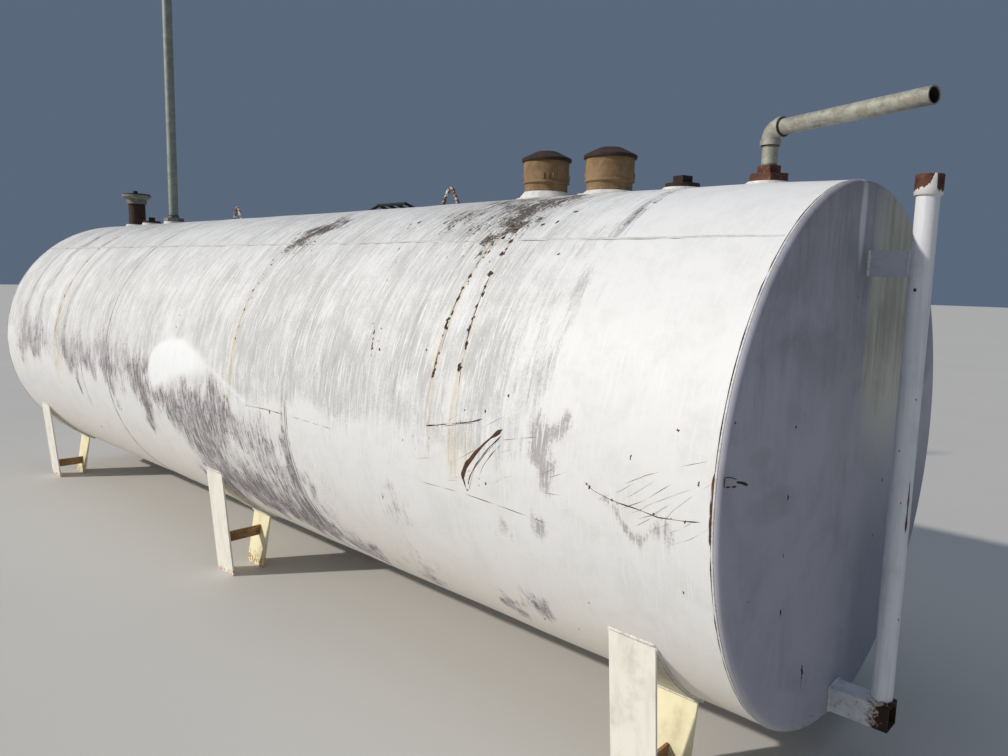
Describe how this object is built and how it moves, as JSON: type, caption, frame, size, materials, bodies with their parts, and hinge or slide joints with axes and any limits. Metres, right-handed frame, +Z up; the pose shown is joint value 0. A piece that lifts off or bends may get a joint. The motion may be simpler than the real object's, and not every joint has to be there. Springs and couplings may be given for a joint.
{
  "type": "horizontal storage tank",
  "caption": "Horizontal cylindrical steel storage tank with flat ends on plate legs, with vents, plugs, a fill riser and lifting lugs along its crown and a standpipe at one end.",
  "frame": {"origin": "on the ground under the middle of the object's bounding box", "axes": "+X along the tank towards the end with the standpipe, -Y towards the side that the picture shows, +Z up"},
  "size_m": [5.6842, 1.6258, 3.629],
  "materials": {
    "weathered_white_paint": "old white oil paint, chalky, grimed and streaked",
    "shaded_grey_white_paint": "old white paint gone grey, with upright dirt streaks",
    "leg_cream_paint": "cream-white brushed paint, rusty at the feet",
    "brace_rusty_steel": "bare rusty steel",
    "rusted_iron": "rusted malleable iron with flakes of white paint",
    "galvanized_steel": "dull weathered zinc",
    "tan_coated_iron": "dull tan coating on cast iron",
    "dark_rusted_iron": "dark brown rust",
    "dark_coated_iron": "dark coated iron"
  },
  "bodies": {
    "root": {"near_shell_course": "weathered_white_paint", "middle_shell_course": "weathered_white_paint", "far_shell_course": "weathered_white_paint", "near_end": "shaded_grey_white_paint", "far_end": "weathered_white_paint", "near_outer_legs": "leg_cream_paint", "near_inner_legs": "leg_cream_paint", "near_leg_pads": "leg_cream_paint", "near_braces": "brace_rusty_steel", "middle_outer_legs": "leg_cream_paint", "middle_inner_legs": "leg_cream_paint", "middle_leg_pads": "leg_cream_paint", "middle_braces": "brace_rusty_steel", "far_outer_legs": "leg_cream_paint", "far_inner_legs": "leg_cream_paint", "far_leg_pads": "leg_cream_paint", "far_braces": "brace_rusty_steel", "near_collars": "weathered_white_paint", "far_collars": "weathered_white_paint", "vent_cones": "weathered_white_paint", "lower_bushing": "rusted_iron", "upper_bushing": "rusted_iron", "nipple": "galvanized_steel", "elbow": "galvanized_steel", "vent_arm": "galvanized_steel", "near_plug": "rusted_iron", "far_plug": "rusted_iron", "vent_1_barrel": "tan_coated_iron", "vent_1_cover": "dark_rusted_iron", "vent_2_barrel": "tan_coated_iron", "vent_2_cover": "dark_rusted_iron", "stack_bushing": "rusted_iron", "stack_pipe": "galvanized_steel", "stack_cap": "dark_rusted_iron", "fill_riser": "rusted_iron", "fill_adapter": "galvanized_steel", "fill_lid": "dark_coated_iron", "near_lug": "rusted_iron", "far_lug": "rusted_iron", "bar_frame": "dark_rusted_iron", "standpipe": "weathered_white_paint", "standpipe_coupling": "rusted_iron", "standpipe_stay": "weathered_white_paint", "foot_box": "weathered_white_paint"}
  },
  "joints": []
}
